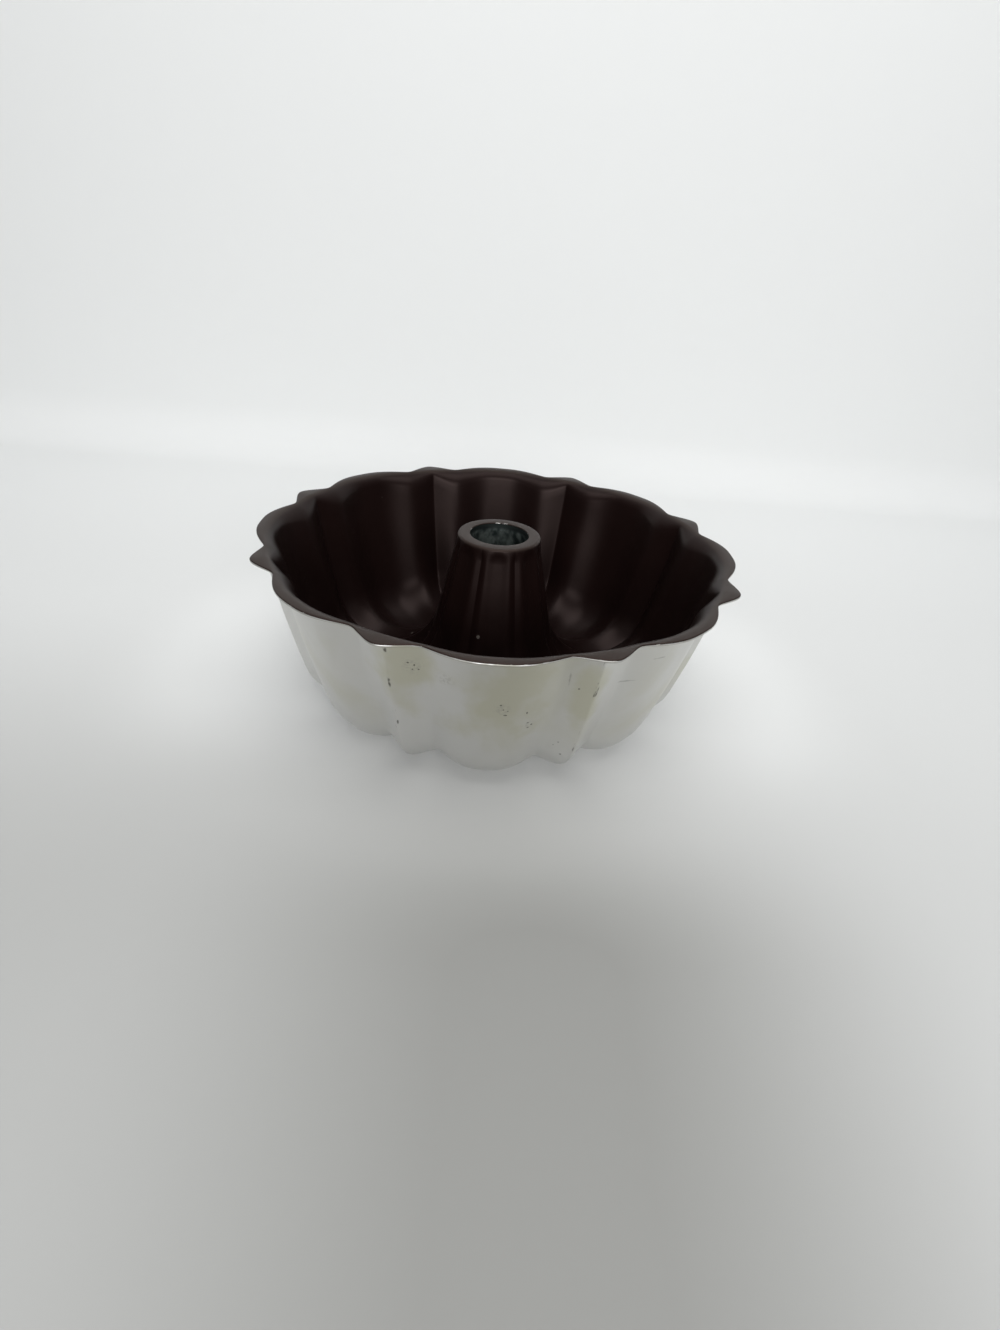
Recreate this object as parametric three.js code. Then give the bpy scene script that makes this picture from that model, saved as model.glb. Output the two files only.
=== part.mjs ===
// Fluted tube pan: one aluminium casting and the non-stick coating bonded to its inside.
// Millimetres, +Z up. The origin is on the table, under the middle of the tube.
import * as THREE from "three";

const { degToRad } = THREE.MathUtils;

// Driving dimensions
const RIM_HEIGHT = 90.5; // table to the coated top of the lip
const FLUTES = 8; // wide flutes, with a pointed flute between each two
const WIDE_HALF_ANGLE = 14.7; // degrees from the middle of a wide flute to the valley beside it
const WALL = 2.4; // thickness of the casting's wall and floor
const COAT = 0.4; // thickness of the coating, drawn thicker than the real film
const BOND_GAP = 0.3; // clearance between the casting and the coating
const COAT_MARGIN = 0.3; // bare metal beside each edge of the coating
const LIP_THICKNESS = 1.2; // metal at the edge of the lip
const LIP_LAND = 0.6; // narrowest level band along the edge of the lip
const UNDER_LIP_FILLET = 3; // hollow between the lip and the outside of the wall
const WALL_TOP = 7; // depth below the lip at which each flute's wall radius is given
const FOOT_LENGTH = 8; // flat worn under each wide flute, on which the pan stands, along the radius
const FOOT_HALF_ANGLE = 2.2; // degrees from the middle of a wide flute to the side of its flat
const TUBE_RISE = 2.6; // top of the tube above the lip
const TUBE_RADIUS = 22.4; // coated outside of the tube, at its top
const TUBE_FLARE = 12.5; // degrees, lean of the outside of the tube
const TUBE_EDGE = 1.6; // rounding of the tube's top edge
const BORE_RADIUS = 16; // bare bore of the tube, at its top
const BORE_FLARE = 15.5; // degrees, lean of the bore
const COLLAR = 3; // plain round height at the top of the tube
const FACET_RUN = 4; // height below the collar over which the facets reach their depth
const WIDE_EASE = 0.06; // softness of a wide flute where it leaves the valley, in half widths
const POINTED_EASE = 0.25; // softness of a pointed flute where it leaves the valley, in half widths
const POINT_ROUNDING = 0.25; // softness of a pointed flute's ridge, in half widths

// The three radial sections that the flutes pass through. Slopes are degrees off the vertical, and
// lift is how far the section's lowest point lies above that of a wide flute without its flat. The
// lip reaches past the wall radius.
const WIDE = {
  lipReach: 6.8,
  lipRounding: 7,
  wallRadius: 122,
  topSlope: 11.5,
  footSlope: 19,
  cornerRadius: 32,
  lift: 0,
  facetDepth: 1.2,
};
const POINTED = {
  lipReach: 9.2,
  lipRounding: 4.5,
  wallRadius: 121,
  topSlope: 10,
  footSlope: 16.5,
  cornerRadius: 30.5,
  lift: 3,
  facetDepth: 1.1,
};
const VALLEY = {
  lipReach: 5.5,
  lipRounding: 12,
  wallRadius: 117,
  topSlope: 12.5,
  footSlope: 18.6,
  cornerRadius: 28.5,
  lift: 7.1,
  facetDepth: 0,
};

// Worked out from the driving dimensions
const POINTED_HALF_ANGLE = 180 / FLUTES - WIDE_HALF_ANGLE;
const FULL_WALL = WALL + BOND_GAP + COAT;
const CAST_SKIN = COAT + BOND_GAP;
const TUBE_TOP = RIM_HEIGHT + TUBE_RISE;
const LIP_UNDERSIDE = RIM_HEIGHT - CAST_SKIN - LIP_THICKNESS;
const FOOT_SINK = WIDE.cornerRadius - Math.sqrt(WIDE.cornerRadius ** 2 - (FOOT_LENGTH / 2) ** 2);
const DOWN = -Math.PI / 2;
const UP = Math.PI / 2;

// Facets along each stretch of a section
const LIP_STEPS = 3;
const WALL_STEPS = 3;
const CORNER_STEPS = 3;
const TROUGH_STEPS = 4;
const EDGE_STEPS = 2;

// Places across half a flute where the surface gets a column of corners
const WIDE_COLUMNS = [0, FOOT_HALF_ANGLE / WIDE_HALF_ANGLE, 0.5, 0.77, 1];
const POINTED_COLUMNS = [0.72, 1];

// Points of an arc, in the plane of radius and height, with both ends.
function arc(centre, radius, from, to, steps) {
  return Array.from({ length: steps + 1 }, (unused, step) => {
    const angle = from + ((to - from) * step) / steps;
    return new THREE.Vector2(
      centre.x + radius * Math.cos(angle),
      centre.y + radius * Math.sin(angle),
    );
  });
}

// Direction from one centre to another.
function bearing(from, to) {
  return Math.atan2(to.y - from.y, to.x - from.x);
}

// The bulging outside wall of a flute and the corner that turns it to level.
function wallOf(flute) {
  const top = degToRad(flute.topSlope);
  const foot = degToRad(flute.footSlope);
  const topHeight = RIM_HEIGHT - WALL_TOP;
  const bottom = flute.lift - FOOT_SINK;
  const footHeight = bottom + flute.cornerRadius * (1 - Math.sin(foot));
  const radius = (topHeight - footHeight) / (Math.sin(foot) - Math.sin(top));
  const centre = new THREE.Vector2(
    flute.wallRadius - radius * Math.cos(top),
    topHeight + radius * Math.sin(top),
  );
  const corner = new THREE.Vector2(
    centre.x + (radius - flute.cornerRadius) * Math.cos(foot),
    bottom + flute.cornerRadius,
  );
  return { centre, radius, corner, foot, bottom };
}

// Radius of the lip's edge.
function lipRadius(flute) {
  return flute.wallRadius + flute.lipReach;
}

// Centre of a round that touches a level line and the outside of the wall's arc.
function roundBesideWall(wall, reach, height) {
  const rise = height - wall.centre.y;
  const run = Math.sqrt(reach * reach - rise * rise);
  return new THREE.Vector2(wall.centre.x + run, height);
}

// Radius of the arc that leaves the floor level and ends along a leaning tube face.
function troughRadius(lowRadius, floor, topRadius, top, lean) {
  const room = lowRadius - topRadius - Math.tan(lean) * (top - floor);
  return room / (Math.cos(lean) - Math.tan(lean) * (1 - Math.sin(lean)));
}

// Section of the bare side: from the lip's edge, down the outside, under the floor and up the bore.
function bareSide(flute) {
  const wall = wallOf(flute);
  const bore = degToRad(BORE_FLARE);
  const boreTop = TUBE_TOP - CAST_SKIN;
  const fillet = roundBesideWall(
    wall,
    wall.radius + UNDER_LIP_FILLET,
    LIP_UNDERSIDE - UNDER_LIP_FILLET,
  );
  const crownRadius = troughRadius(wall.corner.x, wall.bottom, BORE_RADIUS, boreTop, bore);
  const crown = new THREE.Vector2(wall.corner.x, wall.bottom + crownRadius);
  const cornerEnd = DOWN + Math.asin(FOOT_LENGTH / 2 / flute.cornerRadius);
  const crownStart = DOWN - Math.asin(FOOT_LENGTH / 2 / crownRadius);
  const outside = [
    new THREE.Vector2(lipRadius(flute), LIP_UNDERSIDE),
    ...arc(fillet, UNDER_LIP_FILLET, UP, bearing(fillet, wall.centre), LIP_STEPS),
    ...arc(wall.centre, wall.radius, bearing(wall.centre, fillet), -wall.foot, WALL_STEPS).slice(1),
    ...arc(wall.corner, flute.cornerRadius, -wall.foot, cornerEnd, CORNER_STEPS).slice(1),
    ...arc(crown, crownRadius, crownStart, bore - Math.PI, TROUGH_STEPS),
    new THREE.Vector2(BORE_RADIUS, boreTop),
  ];
  return outside.map((point) => new THREE.Vector2(point.x, Math.max(point.y, 0)));
}

// Section of the inner side, set back by a skin from the coated face, from the lip to the tube's top.
function innerSide(flute, skin, margin) {
  const wall = wallOf(flute);
  const lean = degToRad(TUBE_FLARE);
  const inside = wall.radius - FULL_WALL;
  const lip = roundBesideWall(wall, inside + flute.lipRounding, RIM_HEIGHT - flute.lipRounding);
  const floor = wall.bottom + FULL_WALL;
  const trough = troughRadius(wall.corner.x, floor, TUBE_RADIUS, TUBE_TOP, lean);
  const troughCentre = new THREE.Vector2(wall.corner.x, floor + trough);
  const edge = new THREE.Vector2(
    TUBE_RADIUS + TUBE_EDGE * (Math.tan(lean) - 1 / Math.cos(lean)),
    TUBE_TOP - TUBE_EDGE,
  );
  const lipStart = startOfRounding(lip.x, flute);
  const lipArc = arc(lip, flute.lipRounding - skin, lipStart, bearing(lip, wall.centre), LIP_STEPS);
  const floorArc = arc(troughCentre, trough + skin, DOWN, lean - Math.PI, TROUGH_STEPS);
  const edgeArc = arc(edge, TUBE_EDGE - skin, lean, UP, EDGE_STEPS);
  return [
    new THREE.Vector2(lipRadius(flute) - margin, lipArc[0].y),
    ...lipArc,
    ...arc(wall.centre, inside + skin, bearing(wall.centre, lip), -wall.foot, WALL_STEPS).slice(1),
    ...arc(wall.corner, flute.cornerRadius - FULL_WALL + skin, -wall.foot, DOWN, CORNER_STEPS)
      .slice(1),
    ...floorArc.slice(1).map((point, step) => hollowed(point, flute, (step + 1) / TROUGH_STEPS)),
    ...facetRows(flute, skin, lean),
    ...edgeArc,
    new THREE.Vector2(BORE_RADIUS + margin, TUBE_TOP - skin),
  ];
}

// Angle at which the lip's rounding begins: level, or already leaning where the lip is narrow.
function startOfRounding(centreRadius, flute) {
  const overshoot = Math.max(centreRadius - lipRadius(flute) + LIP_LAND, 0);
  return Math.acos(-overshoot / flute.lipRounding);
}

// A point of the tube's face, moved towards the axis by a share of its flute's facet.
function hollowed(point, flute, share) {
  return new THREE.Vector2(point.x - share * flute.facetDepth, point.y);
}

// Rows of the leaning tube face, from the foot of the collar's run up to the collar.
function facetRows(flute, skin, lean) {
  const shares = [1, 0.5, 0];
  return shares.map((share) => {
    const depth = COLLAR + FACET_RUN * share;
    const radius = TUBE_RADIUS + Math.tan(lean) * depth - skin / Math.cos(lean);
    return hollowed(new THREE.Vector2(radius, TUBE_TOP - depth), flute, share);
  });
}

// A share that leaves zero gently and then rises in a straight line to one.
function easedStart(share, softness) {
  const start = Math.hypot(share, softness) - softness;
  return start / (Math.hypot(1, softness) - softness);
}

// How much of the wide and of the pointed section shows, at an angle from a wide flute's middle.
function fluteWeights(angle) {
  const offset = Math.abs(angle);
  if (offset <= WIDE_HALF_ANGLE) {
    const past = Math.max(offset - FOOT_HALF_ANGLE, 0) / (WIDE_HALF_ANGLE - FOOT_HALF_ANGLE);
    return { wide: Math.sin((easedStart(1 - past, WIDE_EASE) * Math.PI) / 2), pointed: 0 };
  }
  const toPoint = 1 - (offset - WIDE_HALF_ANGLE) / POINTED_HALF_ANGLE;
  const blunt = 1 - easedStart(toPoint, POINT_ROUNDING);
  return { wide: 0, pointed: easedStart(blunt, POINTED_EASE) };
}

// Angles of the corner columns across one wide flute and the pointed flute after it.
function columnAngles() {
  const half = [
    ...WIDE_COLUMNS.map((share) => share * WIDE_HALF_ANGLE),
    ...POINTED_COLUMNS.map((share) => WIDE_HALF_ANGLE + share * POINTED_HALF_ANGLE),
  ];
  const mirrored = half.slice(1, -1).map((angle) => -angle);
  return [...mirrored.reverse(), ...half];
}

// Two triangles for a four-cornered patch, cut along its shorter diagonal.
function splitQuad(positions, a, b, c, d) {
  const corner = (index) => new THREE.Vector3().fromArray(positions, 3 * index);
  if (corner(a).distanceTo(corner(c)) <= corner(b).distanceTo(corner(d))) {
    return [a, b, c, a, c, d];
  }
  return [a, b, d, b, c, d];
}

// Closed ring swept round the axis, whose section passes through the three given ones.
function flutedRing(sectionOf) {
  const wide = sectionOf(WIDE);
  const pointed = sectionOf(POINTED);
  const valley = sectionOf(VALLEY);
  const rows = valley.length;
  const positions = [];
  for (let flute = 0; flute < FLUTES; flute += 1) {
    for (const angle of columnAngles()) {
      const turn = degToRad(angle + (360 / FLUTES) * flute);
      const weights = fluteWeights(angle);
      valley.forEach((base, row) => {
        const point = base.clone();
        point.addScaledVector(wide[row].clone().sub(base), weights.wide);
        point.addScaledVector(pointed[row].clone().sub(base), weights.pointed);
        positions.push(point.x * Math.cos(turn), point.x * Math.sin(turn), point.y);
      });
    }
  }
  const columns = positions.length / (3 * rows);
  const index = [];
  for (let column = 0; column < columns; column += 1) {
    const here = column * rows;
    const there = ((column + 1) % columns) * rows;
    for (let row = 0; row < rows; row += 1) {
      const next = (row + 1) % rows;
      index.push(...splitQuad(positions, here + row, here + next, there + next, there + row));
    }
  }
  const geometry = new THREE.BufferGeometry();
  geometry.setAttribute("position", new THREE.Float32BufferAttribute(positions, 3));
  geometry.setIndex(index);
  geometry.computeVertexNormals();
  return geometry;
}

// The casting: wall, lip, floor and tube in one piece
function castShell() {
  const geometry = flutedRing((flute) => [
    ...bareSide(flute),
    ...innerSide(flute, CAST_SKIN, 0).slice(0, -1).reverse(),
  ]);
  const metal = new THREE.MeshStandardMaterial({
    color: 0xb4b4ae,
    roughness: 0.34,
    metalness: 1,
  });
  const mesh = new THREE.Mesh(geometry, metal);
  mesh.name = "cast_shell";
  return mesh;
}

// The coating: the inside of the wall, the floor, the tube's outside and the tops of lip and tube
function nonstickLining() {
  const geometry = flutedRing((flute) => [
    ...innerSide(flute, COAT, COAT_MARGIN),
    ...innerSide(flute, 0, COAT_MARGIN).reverse(),
  ]);
  const coating = new THREE.MeshStandardMaterial({
    color: 0x2c2120,
    roughness: 0.42,
    metalness: 0,
  });
  const mesh = new THREE.Mesh(geometry, coating);
  mesh.name = "nonstick_lining";
  return mesh;
}

const pan = new THREE.Group();
pan.name = "fluted_tube_pan";
pan.add(castShell(), nonstickLining());

export default pan;
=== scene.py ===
# %% [markdown]
# # A fluted tube pan, dressed in Blender
#
# The pan is one aluminium casting with a dark brown non-stick coating inside. The frame gives the exact
# size and place of both pieces. This lesson draws them again as fine meshes, from the rule that the
# flutes follow, and gives each one its finish.

# %% The frame
import math
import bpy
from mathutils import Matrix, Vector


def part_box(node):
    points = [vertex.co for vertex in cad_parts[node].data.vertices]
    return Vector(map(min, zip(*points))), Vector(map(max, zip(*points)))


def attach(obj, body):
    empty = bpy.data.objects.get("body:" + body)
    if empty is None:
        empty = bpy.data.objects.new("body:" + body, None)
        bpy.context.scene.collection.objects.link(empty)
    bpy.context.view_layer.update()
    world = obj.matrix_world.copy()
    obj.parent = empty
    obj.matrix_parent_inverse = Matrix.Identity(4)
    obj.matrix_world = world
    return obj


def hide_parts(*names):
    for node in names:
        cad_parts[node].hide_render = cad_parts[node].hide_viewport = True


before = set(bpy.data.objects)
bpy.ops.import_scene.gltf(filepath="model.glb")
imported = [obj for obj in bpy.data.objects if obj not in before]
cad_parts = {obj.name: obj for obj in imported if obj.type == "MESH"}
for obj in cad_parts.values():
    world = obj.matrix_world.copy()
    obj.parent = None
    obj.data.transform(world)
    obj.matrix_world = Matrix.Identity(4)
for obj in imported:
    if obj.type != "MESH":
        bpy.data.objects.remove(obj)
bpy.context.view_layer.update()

from types import SimpleNamespace

import bpy
from mathutils import Matrix, Vector

print("nodes in the frame:", sorted(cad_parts))

# %% [markdown]
# ## The camera
#
# The picture was taken from close by and above the lip, with a wide lens that was slightly tilted. A
# camera can be turned by angles or by aiming it at a point. Aiming is easier to read: the place, the
# point in the middle of the picture and the tilt are three plain facts. The lamps are aimed the same way.

# %% Camera
MM = 0.001
CAMERA_PLACE = Vector((-8.2, -362.6, 236.4)) * MM
CAMERA_AIM = Vector((6.8, 0, 9.1)) * MM
CAMERA_TILT = math.radians(5.23)
CAMERA_LENS = 19.11  # millimetres
SENSOR_LENGTH = 36  # millimetres, along the longer side of the picture
NEAREST_SIGHT = 10 * MM


def aimed(place, aim):
    """Rotation of something that looks from a place to an aim."""
    return (Vector(aim) - Vector(place)).to_track_quat("-Z", "Y").to_matrix()


camera = bpy.data.objects.new("camera", bpy.data.cameras.new("camera"))
camera.data.lens = CAMERA_LENS
camera.data.sensor_width = SENSOR_LENGTH
camera.data.clip_start = NEAREST_SIGHT
turned = aimed(CAMERA_PLACE, CAMERA_AIM) @ Matrix.Rotation(CAMERA_TILT, 3, "Z")
camera.matrix_world = Matrix.Translation(CAMERA_PLACE) @ turned.to_4x4()
bpy.context.scene.collection.objects.link(camera)
bpy.context.scene.camera = camera
print("camera stands", round((CAMERA_AIM - CAMERA_PLACE).length / MM), "mm from its aim")

# %% [markdown]
# ## Three radial sections
#
# Cut the pan from the tube to the lip and the cut looks different at each flute: bulging in a wide
# flute, pointed at a narrow one, and drawn in at the valley between them. Every other cut is a blend of
# these three. So three sections are enough to describe the whole surface, and each is a chain of arcs
# that meet without a kink. Sizes that the frame already holds are measured from it.

# %% Sizes of the sections
_, shell_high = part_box("cast_shell")
_, lining_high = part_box("nonstick_lining")
TUBE_TOP = lining_high.z
TUBE_RISE = 2.6 * MM  # top of the tube above the lip
RIM_HEIGHT = TUBE_TOP - TUBE_RISE
WALL = 2.4 * MM  # thickness of the casting's wall and floor
CAST_SKIN = lining_high.z - shell_high.z  # coated face to bare casting
FULL_WALL = WALL + CAST_SKIN
LIP_THICKNESS = 1.2 * MM  # metal at the edge of the lip
LIP_UNDERSIDE = RIM_HEIGHT - CAST_SKIN - LIP_THICKNESS
LIP_LAND = 0.6 * MM  # least distance from the edge of the lip to the rounding into the pan
UNDER_LIP_FILLET = 3 * MM
WALL_TOP = 7 * MM  # depth below the lip at which a flute's wall radius is given
FOOT_LENGTH = 8 * MM  # flat on which a wide flute stands, along the radius
TUBE_RADIUS = 22.4 * MM  # where the tube's leaning face would meet its top
TUBE_FLARE = math.radians(12.5)  # how far that face leans off the vertical
TUBE_EDGE = 1.6 * MM  # rounding between them
BORE_RADIUS = 16 * MM  # at the top of the bore
BORE_FLARE = math.radians(15.5)


def flute(wall_radius, lip_reach, lip_rounding, top_slope, foot_slope, corner_radius, lift):
    """One radial section: lengths in millimetres, slopes in degrees off the vertical."""
    return SimpleNamespace(
        wall_radius=wall_radius * MM,
        lip_radius=(wall_radius + lip_reach) * MM,
        lip_rounding=lip_rounding * MM,
        top=math.radians(top_slope),
        foot=math.radians(foot_slope),
        corner_radius=corner_radius * MM,
        lift=lift * MM,
    )


WIDE = flute(
    wall_radius=122,
    lip_reach=6.8,  # from the wall to the edge of the lip
    lip_rounding=7,  # from the inside of the wall into the lip
    top_slope=11.5,
    foot_slope=19,
    corner_radius=32,  # from the wall into the floor
    lift=0,  # of its floor above that of a wide flute
)
POINTED = flute(
    wall_radius=121,
    lip_reach=8.6,
    lip_rounding=4.5,
    top_slope=10,
    foot_slope=16.5,
    corner_radius=30.5,
    lift=3,
)
VALLEY = flute(
    wall_radius=117,
    lip_reach=5.5,
    lip_rounding=12,
    top_slope=12.5,
    foot_slope=18.6,
    corner_radius=28.5,
    lift=7.1,
)
FOOT_SINK = WIDE.corner_radius - math.sqrt(WIDE.corner_radius**2 - (FOOT_LENGTH / 2) ** 2)
print("lip of the wide flutes:", round(WIDE.lip_radius / MM, 2), "mm")
print("lip in the frame:", round(shell_high.x / MM, 2), "mm")

# %% [markdown]
# The next cell turns a section's sizes into arcs. Angles run anticlockwise from the outward direction,
# so down is minus a quarter turn. The same wall arc carries the outside, the inside and the coating,
# each at its own distance, which keeps the thickness even all the way round.

# %% Arcs of a section
DOWN = -math.pi / 2
UP = math.pi / 2


def arc(centre, radius, start, end, steps, end_radius=None):
    """Points of an arc in the plane of radius and height, with both ends. Its radius may change evenly."""
    growth = 0 if end_radius is None else end_radius - radius
    points = []
    for step in range(steps + 1):
        share = step / steps
        turn = start + (end - start) * share
        points.append(centre + (radius + growth * share) * Vector((math.cos(turn), math.sin(turn))))
    return points


def bearing(start, end):
    """Direction from one centre to another."""
    return math.atan2(end.y - start.y, end.x - start.x)


def wall_of(section):
    """The bulging outside wall and the corner that turns it to level."""
    bottom = section.lift - FOOT_SINK
    top_height = RIM_HEIGHT - WALL_TOP
    foot_height = bottom + section.corner_radius * (1 - math.sin(section.foot))
    radius = (top_height - foot_height) / (math.sin(section.foot) - math.sin(section.top))
    centre = Vector((
        section.wall_radius - radius * math.cos(section.top),
        top_height + radius * math.sin(section.top),
    ))
    corner = Vector((
        centre.x + (radius - section.corner_radius) * math.cos(section.foot),
        bottom + section.corner_radius,
    ))
    return SimpleNamespace(centre=centre, radius=radius, corner=corner, bottom=bottom)


def round_beside_wall(wall, reach, height):
    """Centre of a round that touches a level line and the wall's arc."""
    rise = height - wall.centre.y
    return Vector((wall.centre.x + math.sqrt(reach**2 - rise**2), height))


def trough_radius(low_radius, floor, top_radius, top, lean):
    """Radius of the arc that leaves the floor level and ends along a leaning tube face."""
    room = low_radius - top_radius - math.tan(lean) * (top - floor)
    return room / (math.cos(lean) - math.tan(lean) * (1 - math.sin(lean)))


for name, section in {"wide": WIDE, "pointed": POINTED, "valley": VALLEY}.items():
    print(name, "wall arc has a radius of", round(wall_of(section).radius / MM), "mm")

# %% [markdown]
# ## The bare side and the coated side
#
# The bare side starts on the lip's edge and runs down the outside, under the floor and up the bore. The
# coated side runs from the lip over the wall, the trough and the tube. The coating ends just past the
# lip's rounded edge, and the bare edge under it is rounded off, so only a thin bright line of metal
# shows there, as on the real pan.
#
# One rule for the whole ring would make every flute equally sharp, and the real ones aren't. So each row
# of points carries three shares: of the tube's facets, which fade in along the trough, of the softer
# ridges inside the pan, and of the rounder tips that the pointed flutes have on the lip.

# %% Rows of the bare side
BARE_EDGE = 0.85 * MM  # rounding of the lower edge of the lip
NOSE_STEPS, LIP_STEPS, WALL_STEPS, CORNER_STEPS, TROUGH_STEPS = 4, 9, 12, 12, 14


def rows_of(points, facet=0.0, inner=0.0, lip=0.0):
    """Rows with their shares in the tube's facets, the inside's soft ridges and the lip's round tips."""
    return [(point, facet, inner, lip) for point in points]


def bare_side(section):
    """From the bare edge of the lip, down the outside, under the floor and up the bore."""
    wall = wall_of(section)
    bore_top = Vector((BORE_RADIUS, TUBE_TOP - CAST_SKIN))
    reach = wall.radius + UNDER_LIP_FILLET
    fillet = round_beside_wall(wall, reach, LIP_UNDERSIDE - UNDER_LIP_FILLET)
    crown_radius = trough_radius(wall.corner.x, wall.bottom, bore_top.x, bore_top.y, BORE_FLARE)
    crown = Vector((wall.corner.x, wall.bottom + crown_radius))
    corner_end = DOWN + math.asin(FOOT_LENGTH / 2 / section.corner_radius)
    crown_start = DOWN - math.asin(FOOT_LENGTH / 2 / crown_radius)
    edge = Vector((section.lip_radius - BARE_EDGE, LIP_UNDERSIDE + BARE_EDGE))
    wall_start = bearing(wall.centre, fillet)
    crown_arc = arc(crown, crown_radius, crown_start, BORE_FLARE - math.pi, TROUGH_STEPS)
    under_lip = arc(fillet, UNDER_LIP_FILLET, UP, bearing(fillet, wall.centre), LIP_STEPS)
    outside = [
        *arc(wall.centre, wall.radius, wall_start, -section.foot, WALL_STEPS)[1:],
        *arc(wall.corner, section.corner_radius, -section.foot, corner_end, CORNER_STEPS)[1:],
        *crown_arc,
        *[crown_arc[-1].lerp(bore_top, (step + 1) / WALL_STEPS) for step in range(WALL_STEPS)],
    ]
    return [
        *rows_of(arc(edge, BARE_EDGE, 0, DOWN, NOSE_STEPS), lip=1.0),
        *[(point, 0.0, 0.0, 1 - step / LIP_STEPS) for step, point in enumerate(under_lip)],
        *rows_of([Vector((point.x, max(point.y, 0))) for point in outside]),
    ]


print("rows on the bare side:", len(bare_side(WIDE)))

# %% Rows of the coated side
NOSE = 0.45 * MM  # rounding of the coated edge of the lip
COAT_TURN = 0.55 * MM  # how far the coating comes down the edge of the lip
TUBE_ROWS, EDGE_STEPS = 24, 5


def coated_side(section, skin, edge_skin, end_gap):
    """From the lip to the tube's top ring, below the coated face by a skin that thins to the edge."""
    wall = wall_of(section)
    inside = wall.radius - FULL_WALL
    rounding = section.lip_rounding
    lip = round_beside_wall(wall, inside + rounding, RIM_HEIGHT - rounding)
    lip_start = math.acos(-max(lip.x - section.lip_radius + LIP_LAND, 0) / rounding)
    lip_end = bearing(lip, wall.centre)
    nose = Vector((section.lip_radius - NOSE, lip.y + rounding * math.sin(lip_start) - NOSE))
    coat_end = Vector((section.lip_radius - edge_skin, nose.y + NOSE - COAT_TURN - end_gap))
    floor = wall.bottom + FULL_WALL
    trough = trough_radius(wall.corner.x, floor, TUBE_RADIUS, TUBE_TOP, TUBE_FLARE)
    trough_centre = Vector((wall.corner.x, floor + trough))
    trough_arc = arc(trough_centre, trough + skin, DOWN, TUBE_FLARE - math.pi, TROUGH_STEPS)
    edge = Vector((
        TUBE_RADIUS + TUBE_EDGE * (math.tan(TUBE_FLARE) - 1 / math.cos(TUBE_FLARE)),
        TUBE_TOP - TUBE_EDGE,
    ))
    edge_arc = arc(edge, TUBE_EDGE - skin, TUBE_FLARE, UP, EDGE_STEPS)
    tube = [trough_arc[-1].lerp(edge_arc[0], row / TUBE_ROWS) for row in range(1, TUBE_ROWS)]
    corner_radius = section.corner_radius - FULL_WALL + skin
    lip_arc = arc(lip, rounding - edge_skin, lip_start, lip_end, LIP_STEPS, rounding - skin)
    wall_arc = arc(wall.centre, inside + skin, bearing(wall.centre, lip), -section.foot, WALL_STEPS)
    corner_arc = arc(wall.corner, corner_radius, -section.foot, DOWN, CORNER_STEPS)
    return [
        *rows_of([coat_end, *arc(nose, NOSE - edge_skin, 0, UP, NOSE_STEPS)], lip=1.0),
        *[(point, 0.0, step / LIP_STEPS, 1 - step / LIP_STEPS) for step, point in enumerate(lip_arc)],
        *rows_of(wall_arc[1:] + corner_arc[1:], inner=1.0),
        *[(point, (step + 1) / TROUGH_STEPS, 1.0, 0.0) for step, point in enumerate(trough_arc[1:])],
        *rows_of(tube, facet=1.0, inner=1.0),
        *rows_of(edge_arc, inner=1.0),
    ]


print("rows on the coated side:", len(coated_side(WIDE, 0, 0, 0)))

# %% [markdown]
# ## Two closed rings of rows
#
# A solid piece needs a closed outline. The casting joins the bare side to the face under the coating.
# The coating joins its own face to its underside, with a small rounded edge round the bore. The coating
# and the space kept for it thin out towards the lip, and a hair's breadth stays free between the two
# pieces, so neither cuts into the other.

# %% Outlines of the two pieces
COAT_DEPTH = 0.6 * MM  # drawn deeper than the real film, so that its edges can be rounded
COAT_EDGE_DEPTH = 0.22 * MM
CAST_EDGE_SKIN = 0.3 * MM
END_GAP = 0.05 * MM
BORE_EDGE = 0.3 * MM  # rounding of the coating where it ends round the bore


def casting_outline(section):
    """Closed outline of the casting, starting where the coating ends on the lip."""
    under_coating = coated_side(section, CAST_SKIN, CAST_EDGE_SKIN, END_GAP)
    shoulder = Vector((section.lip_radius, under_coating[0][0].y))
    return [*rows_of([shoulder], lip=1.0), *under_coating, *reversed(bare_side(section))]


def coating_outline(section):
    """Closed outline of the coating, starting at its end on the lip."""
    bore_round = Vector((BORE_RADIUS + END_GAP + BORE_EDGE, TUBE_TOP - BORE_EDGE))
    bore_end = Vector((BORE_RADIUS + END_GAP, TUBE_TOP - COAT_DEPTH))
    return [
        *coated_side(section, 0, 0, 0),
        *rows_of(arc(bore_round, BORE_EDGE, UP, math.pi, NOSE_STEPS)),
        *rows_of([bore_end]),
        *reversed(coated_side(section, COAT_DEPTH, COAT_EDGE_DEPTH, 0)),
    ]


print("rows round the casting:", len(casting_outline(WIDE)))
print("rows round the coating:", len(coating_outline(WIDE)))

# %% [markdown]
# ## Node maths that reads like a formula
#
# The rule of the flutes is arithmetic, and a tree with a node for every plus sign is hard to follow. A
# small class helps: a wire stands for a value on its way through a tree, and its plus, minus and times
# signs add the nodes. The materials use the same helpers.

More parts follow.
